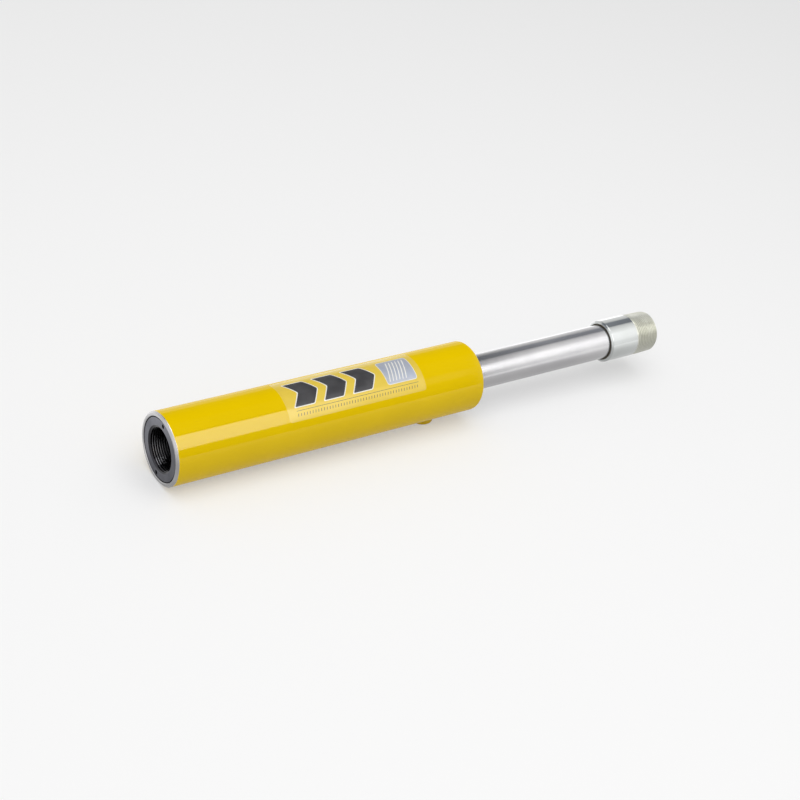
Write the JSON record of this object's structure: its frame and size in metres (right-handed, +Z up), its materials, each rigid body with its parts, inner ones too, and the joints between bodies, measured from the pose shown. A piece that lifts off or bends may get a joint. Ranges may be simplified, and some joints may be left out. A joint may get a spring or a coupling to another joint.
{
  "type": "hydraulic pull cylinder",
  "caption": "Single-acting hydraulic pull cylinder: yellow barrel, blind pipe thread in its base, spring-returned rod with a pipe-threaded coupling, oil port under the front end.",
  "frame": {"origin": "where the cylinder's axis meets the rear face of the barrel", "axes": "+X along the axis towards the rod end, +Z up, with the oil port pointing down along -Z"},
  "size_m": [0.565, 0.068, 0.0734],
  "materials": {
    "yellow_paint": "gloss",
    "blackened_steel": "satin",
    "sintered_bronze": "matte",
    "machined_steel": "satin",
    "spring_steel": "satin",
    "seal_rubber": "matte",
    "seal_polyurethane": "satin",
    "hard_ring_plastic": "matte",
    "guide_ring_plastic": "matte",
    "chromed_rod": "polished",
    "zinc_plate": "satin"
  },
  "bodies": {
    "barrel": {"barrel_tube": "yellow_paint", "oil_port_boss": "yellow_paint", "port_weld_bead": "yellow_paint", "base_plug": "blackened_steel", "breather_filter": "sintered_bronze", "stop_sleeve": "machined_steel", "return_spring": "spring_steel", "gland_nut": "blackened_steel", "gland_o_ring": "seal_rubber", "gland_backup_ring": "hard_ring_plastic", "inner_rod_guide_ring": "guide_ring_plastic", "outer_rod_guide_ring": "guide_ring_plastic", "rod_seal": "seal_polyurethane", "rod_seal_energiser": "seal_rubber", "rod_backup_ring": "hard_ring_plastic", "rod_wiper": "seal_polyurethane"},
    "thrust_washer": {"spring_thrust_washer": "spring_steel"},
    "rod": {"piston_rod": "chromed_rod", "piston": "machined_steel", "piston_nut": "machined_steel", "piston_guide_ring": "guide_ring_plastic", "piston_seal": "seal_polyurethane", "piston_seal_energiser": "seal_rubber", "piston_backup_ring": "hard_ring_plastic", "piston_static_o_ring": "seal_rubber", "rod_coupling": "zinc_plate"}
  },
  "joints": [
    {"name": "rod_slide", "type": "slide", "parent": "barrel", "child": "thrust_washer", "axis": [1, 0, 0], "range_m": [-0.15, 0], "stiffness_N_per_m": 5000, "springref_m": 0.02, "deforming": ["return_spring"]},
    {"name": "rod_turn", "type": "hinge", "parent": "thrust_washer", "child": "rod", "pos_m": [0.2478, 0, 0], "axis": [1, 0, 0], "continuous": true}
  ]
}
